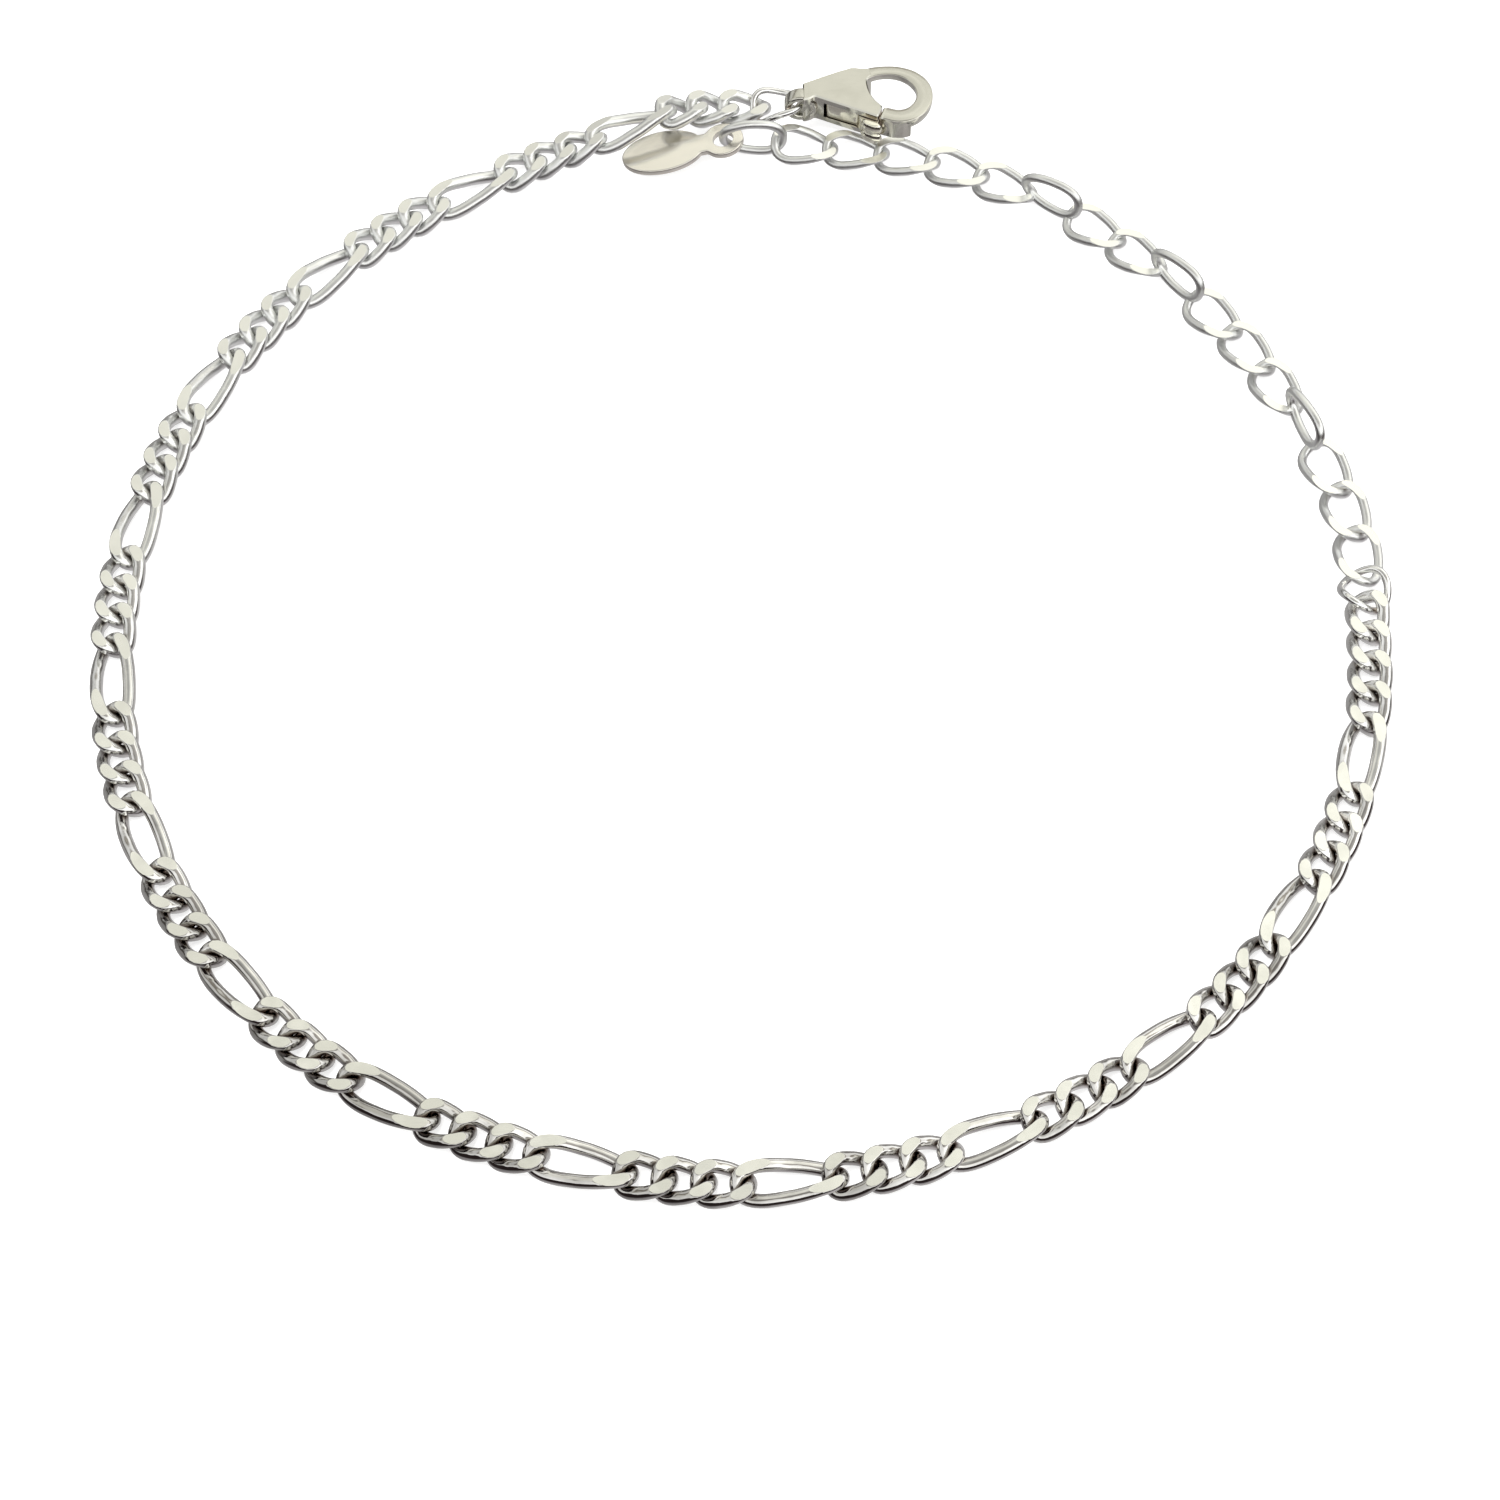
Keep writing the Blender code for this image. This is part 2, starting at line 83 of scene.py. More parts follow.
# Figaro links that lie over the tag, with their near side raised: which one, and by how many degrees
TILTED_LINKS = {58: 6.0, 59: 12.0, 60: 18.0, 61: 12.0, 62: 6.0}

# How deep neighbouring links press into each other, how unevenly they lie and how full their ovals are
PRESS = 0.04 * MM
LEAN = math.radians(2.5)
FIGARO_SEED = 7
OPEN_SEED = 11
OVAL_POWER = 2.3
CIRCLE_POWER = 2.0

# The narrow bevel round a link's cut flats
FLAT_BEVEL = 0.018 * MM

# How many points go along and round the routes, wires and turned forms
ROUTE_STEPS = 40
HOOK_STEPS = 7
SMALL_STEPS = 44
LONG_STEPS = 64
OPEN_STEPS = 56
RING_STEPS = 56
JUMP_STEPS = 64
FIGARO_SIDES = 20
THIN_SIDES = 18
HOOK_SIDES = 22
TURNED_SIDES = 48
PIN_SIDES = 32
BOSS_STEPS = 24
TAG_STEPS = 90

# Routes of the chains in the layout, in millimetres
FIGARO_ROUTE = (
    (35.8, 9.18, 0.71),
    (35.3, 3.0, 0.655),
    (33.9, -3.0, 0.64),
    (31.0, -9.2, 0.64),
    (25.7, -16.2, 0.64),
    (18.5, -21.7, 0.64),
    (9.9, -25.5, 0.64),
    (0.0, -27.1, 0.64),
    (-9.6, -25.8, 0.64),
    (-18.2, -22.7, 0.64),
    (-25.2, -17.9, 0.64),
    (-31.0, -11.0, 0.64),
    (-34.9, -2.8, 0.64),
    (-36.6, 6.0, 0.64),
    (-36.1, 15.5, 0.64),
    (-33.1, 24.9, 0.64),
    (-28.2, 32.5, 0.64),
    (-21.5, 38.8, 0.67),
    (-14.0, 43.3, 0.82),
    (-6.8, 46.03, 1.68),
    (-4.3, 47.14, 1.84),
    (-2.2, 47.75, 1.22),
    (1.3, 47.9, 1.15),
)
OPEN_ROUTE = (
    (35.75, 10.93, 0.71),
    (35.4, 16.1, 0.455),
    (33.6, 21.6, 0.45),
    (30.8, 27.9, 0.45),
    (26.8, 33.3, 0.45),
    (21.9, 38.1, 0.45),
    (16.7, 41.6, 0.45),
    (11.75, 43.8, 0.45),
    (8.75, 44.5, 0.45),
    (5.5, 44.95, 0.50),
    (2.4, 45.15, 0.85),
    (-1.0, 45.08, 1.20),
)

# Rings
CONNECTOR_RADIUS = 1.354 * MM
CONNECTOR_WIRE = 0.46 * MM
CONNECTOR_TWIST = 0.515 * MM
JUMP_RADIUS = 1.63 * MM
JUMP_SIDE_RADIUS = 1.29 * MM
JUMP_WIRE = 0.44 * MM
JUMP_TWIST = 0.625 * MM
JUMP_EYE_TWIST = -0.02 * MM
JUMP_ROLL = math.radians(-6.3)
JUMP_LIFT = 0.105 * MM

# Clasp, from the middle of its hook, in millimetres where it is an outline
CLASP_PLACE = Vector((9.70, 47.22, 2.02)) * MM
CLASP_THICKNESS = 2.10 * MM
CLASP_ROUNDING = 0.16 * MM
PLATES_BEVEL = 0.12 * MM
PLATES_OUTLINE = (
    (-5.90, -0.48),
    (-5.40, -0.33),
    (-5.15, -0.12),
    (-1.17, -1.94),
    (-0.85, -1.04),
    (-1.32, -0.50),
    (-1.62, 0.10),
    (-1.76, 0.70),
    (-1.80, 1.25),
    (-1.45, 1.62),
    (-1.60, 2.28),
    (-2.10, 2.22),
    (-2.40, 2.30),
    (-2.75, 2.32),
    (-3.65, 1.98),
    (-4.75, 1.50),
    (-5.90, 0.98),
)
SLOT_OUTLINE = (
    (-4.56, -3.20),
    (-0.60, -3.20),
    (-0.60, -0.30),
    (-1.90, 0.25),
    (-2.15, 1.15),
    (-2.90, 1.40),
    (-3.60, 1.25),
    (-4.70, 0.64),
    (-4.70, 0.25),
    (-4.56, -0.35),
)
SLOT_HEIGHT = 1.24 * MM
SLOT_ROUNDING = 0.25 * MM
SLOT_BEVEL = 0.05 * MM
EYE_CENTRE = (-6.02 * MM, 0.15 * MM)
EYE_RADIUS = 1.04 * MM
EYE_HOLE = 0.64 * MM
EYE_WIDTH = 0.96 * MM
EYE_BEVEL = 0.16 * MM
PIVOT = (-3.00 * MM, 0.50 * MM)
PIN_RADIUS = 0.30 * MM

# Hook: the middle of its flat top, from root to tip, and how wide it is there
HOOK_PATH = (
    (-2.10, 1.62, 0.90),
    (-1.40, 1.92, 0.78),
    (-0.55, 2.03, 0.74),
    (0.30, 1.93, 0.78),
    (1.10, 1.52, 0.90),
    (1.66, 0.80, 1.02),
    (1.84, -0.05, 1.06),
    (1.64, -0.92, 1.08),
    (1.02, -1.62, 1.08),
    (0.15, -1.87, 1.06),
    (-0.72, -1.64, 1.02),
)
HOOK_TOP = 1.03 * MM
HOOK_DEPTH = 0.96 * MM

# The hook's section one millimetre wide: its right shoulder, and how full its round underside is
HOOK_SHOULDER = (
    (0.40, 0.0),
    (0.455, -0.018),
    (0.492, -0.055),
)
HOOK_SHOULDER_DEPTH = 0.08
HOOK_SIDE_POWER = 2.5
HOOK_UNDER_POWER = 2.2

# The thick tip that ends the hook, just under its top
TIP_OUTLINE = (
    (0.78, -1.26),
    (0.96, -2.22),
    (0.40, -2.38),
    (-0.25, -2.34),
    (-1.09, -2.03),
    (-0.77, -1.10),
    (-0.20, -1.31),
    (0.36, -1.36),
)
TIP_HEIGHT = 1.60 * MM
TIP_BEVEL = 0.08 * MM
TIP_SINK = 0.01 * MM

# Lever
LEVER_THICKNESS = 1.12 * MM
LEVER_BOSS = 0.66 * MM
BOSS_START = math.radians(10.0)
BOSS_TURN = math.radians(220.0)
LEVER_HOLE = 0.46 * MM
LEVER_ROUNDING = 0.12 * MM
LEVER_BEVEL = 0.08 * MM
NOSE_OUTLINE = (
    (-4.30, 0.16),
    (-4.46, -0.24),
    (-4.30, -0.42),
    (-2.45, -1.20),
    (-2.20, -1.90),
    (-1.18, -2.22),
    (-1.16, -1.98),
    (-0.84, -1.16),
    (-1.10, -0.90),
    (-1.50, -0.55),
    (-1.95, -0.10),
)
TAB_OUTLINE = (
    (-2.20, -1.74),
    (-1.17, -2.18),
    (-0.88, -2.42),
    (-0.98, -2.66),
    (-1.50, -2.68),
    (-2.06, -2.38),
    (-2.28, -2.02),
)

# The thumb tab's two pads, one above the other: how high each one's middle is, and the waist between them
TAB_PADS = (0.42 * MM, -0.42 * MM)
TAB_ROUNDING = 0.20 * MM
TAB_PAD_THICKNESS = 0.78 * MM
TAB_PAD_INSET = 0.45
TAB_WAIST = 0.40 * MM
TAB_WAIST_SCALE = 0.72

# Tag, from the centre of its hole. S runs to its far tip
TAG_THICKNESS = 0.44 * MM
TAG_RING = 1.31 * MM
TAG_HOLE = 0.65 * MM
TAG_NECK = 0.75 * MM
TAG_OVAL_CENTRE = 3.90 * MM
TAG_OVAL_LENGTH = 5.30 * MM
TAG_OVAL_WIDTH = 3.30 * MM
TAG_HOLE_PLACE = (-1.28 * MM, 45.07 * MM)
TAG_TURN = math.radians(186.5)
TAG_LIFT = 0.98 * MM
TAG_BEVEL = 0.10 * MM
TAG_SOFTENING = 0.05 * MM

# Edges sharper than these are left sharp in the shading, or rounded by the tag's last bevel
SMOOTH_ANGLE = math.radians(32.0)
SOFTEN_ANGLE = math.radians(40.0)

# Camera over the layout's origin
CAMERA_ELEVATION = math.radians(57.85)
CAMERA_ROLL = math.radians(-0.615)
CAMERA_DISTANCE = 184.42 * MM
CAMERA_LENS = 78.2
CAMERA_SENSOR = 36.0
CAMERA_NEAREST = 0.01
CAMERA_FARTHEST = 10.0

# What the silver mirrors, as a light tent: how far upward a direction points, from -1 to 1, and the light
BACK_WALL = (
    (-1.00, (0.56, 0.55, 0.55)),
    (-0.40, (0.46, 0.45, 0.45)),
    (-0.10, (0.42, 0.41, 0.40)),
    (-0.04, (0.10, 0.09, 0.08)),
    (0.05, (0.10, 0.09, 0.08)),
    (0.10, (0.55, 0.55, 0.54)),
    (0.20, (1.05, 1.05, 1.03)),
    (0.42, (1.05, 1.05, 1.03)),
    (0.47, (0.34, 0.31, 0.27)),
    (0.53, (0.38, 0.35, 0.30)),
    (0.59, (1.12, 1.11, 1.03)),
    (0.90, (1.12, 1.11, 1.02)),
    (1.00, (0.50, 0.50, 0.48)),
)
FRONT_WALL = (
    (-1.00, (0.56, 0.55, 0.55)),
    (-0.80, (0.48, 0.46, 0.47)),
    (-0.44, (0.33, 0.31, 0.32)),
    (-0.36, (0.04, 0.03, 0.03)),
    (0.28, (0.03, 0.02, 0.02)),
    (0.34, (1.45, 1.45, 1.43)),
    (0.78, (1.20, 1.20, 1.17)),
    (0.84, (0.36, 0.33, 0.30)),
    (1.00, (0.50, 0.50, 0.48)),
)

# The tent's other measures: how softly its walls meet, and how clouds and the right side change its light
WALLS_MEET = 0.12
TENT_CLOUD_SCALE = 5.0
TENT_CLOUD_RANGE = (0.35, 0.65)
TENT_CLOUDS = (0.84, 1.08)
TENT_SIDE_RANGE = (-0.5, 0.5)
TENT_SIDES = (0.74, 1.26)

# Painted light and shade: how a link's tone goes with its place, per metre to the right and to the back,
# around an uneven middle
PAINTED_SHADE_RIGHT = -6.0
PAINTED_SHADE_BACK = -12.0
LEAST_TONE = 0.05
MOST_TONE = 0.75

# Links further back have a softer polish and a painted flatter colour: where that starts, and how far it
# takes to become full
SATIN_FROM = -28.0 * MM
SATIN_SPAN = 50.0 * MM

# What the softer polish adds to the roughness and takes off the tarnish and painted shade in the creases,
# and the extension's least share
SATIN_ROUGHNESS = 0.26
BACK_CREASE_SHADE_LIFT = 0.95
OPEN_SATIN = 0.8

# The values between which the silver's noise does its work
NOISE_RANGE = (0.3, 0.7)

# Textures on the silver: how fine they are, per metre, and how strong or deep
CLOUD_SCALE = 700.0
CLOUD_TONE = 0.3
SCRATCH_SCALE = 1400.0
SCRATCH_STRETCH = 7.0
SCRATCH_TURN = math.radians(24.0)
SCRATCH_DEPTH = 0.002 * MM
DENT_SCALE = 1300.0

# Creases, darkened by tarnish and painted shade: how near the other wire is, and how open the place is where
# it is fully darkened or not at all
CREASE_REACH = 0.35 * MM
CREASE_RANGE = (0.25, 0.80)
CREASE_SAMPLES = 8

# Colours of the tarnish and painted shade in the creases, and the painted light and shade colours of the
# softly polished links at the back
BROWN = (0.22, 0.17, 0.14)
GRIME_AND_SHADE = (0.52, 0.45, 0.38)
GREY = (0.86, 0.87, 0.86)
CREAM = (0.88, 0.88, 0.83)
BRIGHT = (1.0, 1.0, 0.95)

# Kinds of silver. The colour at the back is a painted light and shade, and spread is how far the roughness
# varies
FIGARO_WIRE_SILVER = {
    "name": "round_silver",
    "colour": (0.98, 0.97, 0.95),
    "shade": (0.52, 0.51, 0.49),
    "back_painted_light": GREY,
    "crease_tarnish_and_shade": BROWN,
    "roughness": 0.03,
    "spread": 0.05,
    "dent": 0.016 * MM,
}
FIGARO_FLAT_SILVER = {
    "name": "cut_silver",
    "colour": (0.97, 0.97, 0.92),
    "shade": (0.74, 0.74, 0.69),
    "back_painted_light": CREAM,
    "crease_tarnish_and_shade": BROWN,
    "roughness": 0.12,
    "spread": 0.10,
    "dent": 0.006 * MM,
}
OPEN_WIRE_SILVER = {
    "name": "open_silver",
    "colour": (0.92, 0.92, 0.91),
    "shade": (0.80, 0.81, 0.80),
    "back_painted_light": GREY,
    "crease_tarnish_and_shade": GRIME_AND_SHADE,
    "roughness": 0.08,
    "spread": 0.06,
    "dent": 0.010 * MM,
}
OPEN_FLAT_SILVER = {
    "name": "lens_silver",
    "colour": (0.98, 0.98, 0.94),
    "shade": (0.90, 0.90, 0.86),
    "back_painted_light": BRIGHT,
    "crease_tarnish_and_shade": GRIME_AND_SHADE,
    "roughness": 0.02,
    "spread": 0.04,
    "dent": 0.004 * MM,
}
CLASP_SILVER = {
    "name": "cast_silver",
    "colour": (0.62, 0.61, 0.55),
    "shade": (0.55, 0.54, 0.48),
    "back_painted_light": GREY,
    "crease_tarnish_and_shade": GRIME_AND_SHADE,
    "roughness": 0.12,
    "spread": 0.08,
    "dent": 0.003 * MM,
}
TAG_SILVER = {
    "name": "stamped_silver",
    "colour": (0.90, 0.87, 0.79),
    "shade": (0.82, 0.79, 0.71),
    "back_painted_light": GREY,
    "crease_tarnish_and_shade": GRIME_AND_SHADE,
    "roughness": 0.18,
    "spread": 0.08,
    "dent": 0.006 * MM,
}
LEVER_SILVER = {
    "name": "tab_silver",
    "colour": (0.92, 0.90, 0.78),
    "shade": (0.76, 0.74, 0.62),
    "back_painted_light": GREY,
    "crease_tarnish_and_shade": GRIME_AND_SHADE,
    "roughness": 0.12,
    "spread": 0.08,
    "dent": 0.006 * MM,
}

# Floor, backdrop and the soft light above the left side
FLOOR_REACH = 4.0
FLOOR_SHADE = 0.50
FLOOR_SPECULAR = 0.2
PAPER_ROUGHNESS = 0.6
FLOOR_GLOW = 0.74
BACKDROP_RADIUS = 5.0
BACKDROP_GLOW = 0.95
ROOF_PLACE = Vector((-0.15, 0.05, 0.45))
ROOF_SIZE = 0.4
ROOF_POWER = 4.0


def smooth_route(points, steps=ROUTE_STEPS):
    """A dense curve through the points, with the tangents of their neighbours."""
    places = [Vector(point) * MM for point in points]
    first = places[0] * 2 - places[1]
    last = places[-1] * 2 - places[-2]
    places = [first] + places + [last]
    dense = []
    for index in range(1, len(places) - 2):
        before, start, end, after = places[index - 1:index + 3]
        span = (end - start).length
        out_slope = (end - before) / ((end - start).length + (start - before).length) * span
        in_slope = (after - start) / ((after - end).length + (end - start).length) * span
        for step in range(steps):
            t = step / steps
            dense.append(
                start * (2 * t ** 3 - 3 * t ** 2 + 1)
                + out_slope * (t ** 3 - 2 * t ** 2 + t)
                + end * (3 * t ** 2 - 2 * t ** 3)
                + in_slope * (t ** 3 - t ** 2)
            )
    dense.append(places[-2])
    dense.append(places[-2] + (places[-2] - dense[-2]).normalized() * 3 * MM)
    return dense


def joints_along(route, pitches):
    """Walk the route in straight steps, one pitch each."""
    joints = [route[0]]
    index = 0
    for pitch in pitches:
        while (route[index + 1] - joints[-1]).length < pitch:
            index += 1
        low, high = 0.0, 1.0
        for _ in range(30):
            middle = (low + high) / 2
            place = route[index].lerp(route[index + 1], middle)
            if (place - joints[-1]).length < pitch:
                low = middle
            else:
                high = middle
        joints.append(route[index].lerp(route[index + 1], high))
    return joints


def link_place(start, end, roll=0.0):
    """The matrix that lays a link's long axis from one joint to the next."""
    along = (end - start).normalized()
    across = Vector((0.0, 0.0, 1.0)).cross(along).normalized()
    up = along.cross(across)
    turn = Matrix((along, across, up)).transposed() @ Matrix.Rotation(roll, 3, "X")
    return Matrix.Translation((start + end) / 2) @ turn.to_4x4()


def oval_points(length, width, twist, steps, power=OVAL_POWER):
    """The middle of a link's wire, with points spread evenly along it."""
    fine = []
    for index in range(16 * steps):
        angle = 2 * math.pi * index / (16 * steps)
        cosine, sine = math.cos(angle), math.sin(angle)
        x = length / 2 * math.copysign(abs(cosine) ** (2 / power), cosine)
        y = width / 2 * math.copysign(abs(sine) ** (2 / power), sine)
        fine.append(Vector((x, y, -twist * math.sin(2 * angle))))
    lengths = [0.0]
    for start, end in zip(fine, fine[1:] + fine[:1]):
        lengths.append(lengths[-1] + (end - start).length)
    points = []
    index = 0
    for step in range(steps):
        goal = lengths[-1] * step / steps
        while lengths[index + 1] < goal:
            index += 1
        share = (goal - lengths[index]) / (lengths[index + 1] - lengths[index])
        points.append(fine[index].lerp(fine[(index + 1) % len(fine)], share))
    return points


def circle_section(radius, sides):
    turn = 2 * math.pi / sides
    return [(radius * math.cos(turn * side), radius * math.sin(turn * side)) for side in range(sides)]


def sweep(shape, path, section, closed, scales=None):
    """A tube of the section along the path, with its second axis kept upward."""
    rings = []
    count = len(path)
    for index, place in enumerate(path):
        if closed:
            along = path[(index + 1) % count] - path[index - 1]
        else:
            along = path[min(index + 1, count - 1)] - path[max(index - 1, 0)]
        along.normalize()
        across = Vector((0.0, 0.0, 1.0)).cross(along).normalized()
        up = along.cross(across)
        scale = scales[index] if scales else 1.0
        rings.append([shape.verts.new(place + (across * u + up * v) * scale) for u, v in section])
    following = rings[1:] + (rings[:1] if closed else [])
    for ring, after in zip(rings, following):
        for side in range(len(section)):
            near = (side + 1) % len(section)
            shape.faces.new((ring[side], ring[near], after[near], after[side])).smooth = True
    if not closed:
        shape.faces.new(list(reversed(rings[0])))
        shape.faces.new(rings[-1])


def cut_flat(shape, height):
    """Cut the wire flat above and below. The flats take the second material."""
    for side in (1.0, -1.0):
        geometry = shape.verts[:] + shape.edges[:] + shape.faces[:]
        cut = bmesh.ops.bisect_plane(
            shape,
            geom=geometry,
            plane_co=(0.0, 0.0, side * height / 2),
            plane_no=(0.0, 0.0, side),
            clear_outer=True,
        )
        rim = [part for part in cut["geom_cut"] if isinstance(part, bmesh.types.BMEdge)]
        if rim:
            filled = bmesh.ops.edgeloop_fill(shape, edges=rim)
            for face in filled["faces"]:
                face.material_index = 1
                face.smooth = False
    flats = [face for face in shape.faces if face.material_index == 1]
    bmesh.ops.recalc_face_normals(shape, faces=shape.faces)
    if flats:
        rims = list({edge for face in flats for edge in face.edges})
        bmesh.ops.bevel(
            shape,
            geom=rims,
            offset=FLAT_BEVEL,
            segments=1,
            affect="EDGES",
            profile=0.5,
            clamp_overlap=True,
            material=0,
        )


def link_mesh(name, pitch, wire, width, twist, height, steps, sides):
    shape = bmesh.new()
    path = oval_points(pitch + wire - PRESS, width - wire, twist, steps)
    sweep(shape, path, circle_section(wire / 2, sides), True)
    cut_flat(shape, height)
    return to_mesh(shape, name)


def joined(name, placed, uneven, least_satin=0.0):
    """One mesh of several placed copies. Each has its own tone with painted light and shade by its place,
    and the back ones a softer polish with a painted flatter colour.
    """
    shape = bmesh.new()
    tones_and_painted_light = []
    satins = []
    for mesh, matrix in placed:
        copy = mesh.copy()
        copy.transform(matrix)
        shape.from_mesh(copy)
        place = matrix.translation
        # Painted light and shade: the tone goes lighter to the right and to the back, around its random part
        tone_and_painted_light = uneven.uniform(LEAST_TONE, MOST_TONE) + PAINTED_SHADE_RIGHT * place.x + PAINTED_SHADE_BACK * place.y
        # The back share also paints the back links a flatter colour and lifts their painted crease shade
        satin = min(max((place.y - SATIN_FROM) / SATIN_SPAN, least_satin), 1.0)
        tones_and_painted_light += [tone_and_painted_light] * len(mesh.vertices)
        satins += [satin] * len(mesh.vertices)
        bpy.data.meshes.remove(copy)
    whole = bpy.data.meshes.new(name)
    shape.to_mesh(whole)
    shape.free()
    whole.attributes.new("tone_and_painted_light", "FLOAT", "POINT").data.foreach_set("value", tones_and_painted_light)
    whole.attributes.new("satin", "FLOAT", "POINT").data.foreach_set("value", satins)
    return whole


def add_piece(name, mesh, materials, body, slot, *nodes):
    """Show the mesh in place of the nodes, riding on the body."""
    # Clearing an empty list would still forget which faces take the second material
    if mesh.materials:
        mesh.materials.clear()
    for material in materials:
        mesh.materials.append(material)
    piece = bpy.data.objects.new(name, mesh)
    bpy.context.scene.collection.objects.link(piece)
    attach(piece, body)
    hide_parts(*nodes)
    return piece


def rounded(outline, reach):
    """The outline in metres, with each corner cut to a curve that starts at most reach from it."""
    steps = 4
    most = 0.48
    corners = [Vector((u, v)) * MM for u, v in outline]
    points = []
    for index, corner in enumerate(corners):
        before = corners[index - 1] - corner
        after = corners[(index + 1) % len(corners)] - corner
        start = corner + before.normalized() * min(reach, most * before.length)
        end = corner + after.normalized() * min(reach, most * after.length)
        for step in range(steps + 1):
            t = step / steps
            points.append(start * (1 - t) ** 2 + corner * 2 * t * (1 - t) + end * t ** 2)
    return points


def plate_shape(outline, thickness, bevel, segments=3):
    """A plate about Z = 0 with rounded rims."""
    shape = bmesh.new()
    face = shape.faces.new([shape.verts.new((u, v, -thickness / 2)) for u, v in outline])
    pushed = bmesh.ops.extrude_face_region(shape, geom=[face])
    top = [part for part in pushed["geom"] if isinstance(part, bmesh.types.BMVert)]
    bmesh.ops.translate(shape, verts=top, vec=(0.0, 0.0, thickness))
    bmesh.ops.recalc_face_normals(shape, faces=shape.faces)
    if bevel:
        level = thickness / 2
        rims = [edge for edge in shape.edges if abs(edge.verts[0].co.z - edge.verts[1].co.z) < level]
        bmesh.ops.bevel(
            shape,
            geom=rims,
            offset=bevel,
            segments=segments,
            affect="EDGES",
            profile=0.5,
            clamp_overlap=True,
        )
    return shape


def to_mesh(shape, name, matrix=None):
    mesh = bpy.data.meshes.new(name)
    if matrix is not None:
        shape.transform(matrix)
    shape.to_mesh(mesh)
    shape.free()
    return mesh


def pad_shape(outline, thickness, inset):
    """A pad about Z = 0 whose rim is rounded from its lower face to its upper face."""
    steps = 6
    centre = sum(outline, Vector((0.0, 0.0))) / len(outline)
    shape = bmesh.new()
    rings = []
    for step in range(2 * steps + 1):
        angle = math.radians(90.0) * (step / steps - 1)
        scale = 1 - inset * (1 - math.cos(angle))
        height = thickness / 2 * math.sin(angle)
        rings.append([shape.verts.new((*(centre + (point - centre) * scale), height)) for point in outline])
    for ring, after in zip(rings, rings[1:]):
        for side in range(len(outline)):
            near = (side + 1) % len(outline)
            shape.faces.new((ring[side], ring[near], after[near], after[side]))
    shape.faces.new(list(reversed(rings[0])))
    shape.faces.new(rings[-1])
    bmesh.ops.recalc_face_normals(shape, faces=shape.faces)
    return shape


def turned_ring(radius, hole, width, bevel, place):
    """A flat ring with rounded edges about the local Z axis."""
    half = width / 2
    profile = []
    corners = (
        (radius - bevel, half - bevel),
        (hole + bevel, half - bevel),
        (hole + bevel, bevel - half),
        (radius - bevel, bevel - half),
    )
    corner_steps = 4
    for quarter, centre in enumerate(corners):
        for step in range(corner_steps + 1):
            angle = math.radians(90.0) * (quarter + step / corner_steps)
            profile.append((centre[0] + bevel * math.cos(angle), centre[1] + bevel * math.sin(angle)))
    shape = bmesh.new()
    rings = []
    for step in range(TURNED_SIDES):
        turn = 2 * math.pi * step / TURNED_SIDES
        rings.append([shape.verts.new((r * math.cos(turn), r * math.sin(turn), z)) for r, z in profile])
    for ring, after in zip(rings, rings[1:] + rings[:1]):
        for side in range(len(profile)):
            near = (side + 1) % len(profile)
            shape.faces.new((ring[side], ring[near], after[near], after[side]))
    bmesh.ops.recalc_face_normals(shape, faces=shape.faces)
    return to_mesh(shape, "ring", place)


def cylinder(radius, depth, sides, place):
    shape = bmesh.new()
    bmesh.ops.create_cone(
        shape, cap_ends=True, segments=sides, radius1=radius, radius2=radius, depth=depth, matrix=place
    )
    return to_mesh(shape, "cylinder")


def combined(name, base, steps):
    """The base mesh after a list of Boolean steps with other meshes."""
    holder = bpy.data.objects.new(name, base)
    bpy.context.scene.collection.objects.link(holder)
    tools = []
    for operation, mesh in steps:
        tool = bpy.data.objects.new(name + "_tool", mesh)
        bpy.context.scene.collection.objects.link(tool)
        modifier = holder.modifiers.new("cut", "BOOLEAN")
        modifier.operation = operation
        modifier.object = tool
        modifier.solver = "EXACT"
        tools.append(tool)
    depsgraph = bpy.context.evaluated_depsgraph_get()
    result = bpy.data.meshes.new_from_object(holder.evaluated_get(depsgraph))
    for helper in [holder] + tools:
        bpy.data.objects.remove(helper)
    return result


def soften(piece, width):
    """Round the edges that a Boolean leaves sharp."""
    bevel = piece.modifiers.new("edges", "BEVEL")
    bevel.width = width
    bevel.segments = 2
    bevel.limit_method = "ANGLE"
    bevel.angle_limit = SOFTEN_ANGLE
    bevel.harden_normals = True
    bevel.use_clamp_overlap = True


def shade_smooth(mesh):
    mesh.shade_smooth()
    mesh.set_sharp_from_angle(angle=SMOOTH_ANGLE)


def figaro_chain(to_frame, materials):
    shape = (FIGARO_WIRE, FIGARO_WIDTH, FIGARO_TWIST, FIGARO_HEIGHT)
    small = link_mesh("small_link", SMALL_PITCH, *shape, SMALL_STEPS, FIGARO_SIDES)
    long = link_mesh("long_link", LONG_PITCH, *shape, LONG_STEPS, FIGARO_SIDES)
    kinds = [(small, SMALL_PITCH)] * SMALL_AT_START
    kinds += ([(long, LONG_PITCH)] + [(small, SMALL_PITCH)] * SMALL_PER_GROUP) * LONG_LINKS
    joints = joints_along(smooth_route(FIGARO_ROUTE), [pitch for _, pitch in kinds])
    uneven = random.Random(FIGARO_SEED)
    placed = []
    for index, (mesh, _) in enumerate(kinds):
        roll = uneven.uniform(-LEAN, LEAN) - math.radians(TILTED_LINKS.get(index, 0.0))
        placed.append((mesh, to_frame @ link_place(joints[index], joints[index + 1], roll)))
    mesh = joined("figaro_links", placed, uneven)
    add_piece("figaro_links", mesh, materials, "bracelet", "chain_silver", "figaro_chain")
    return joints


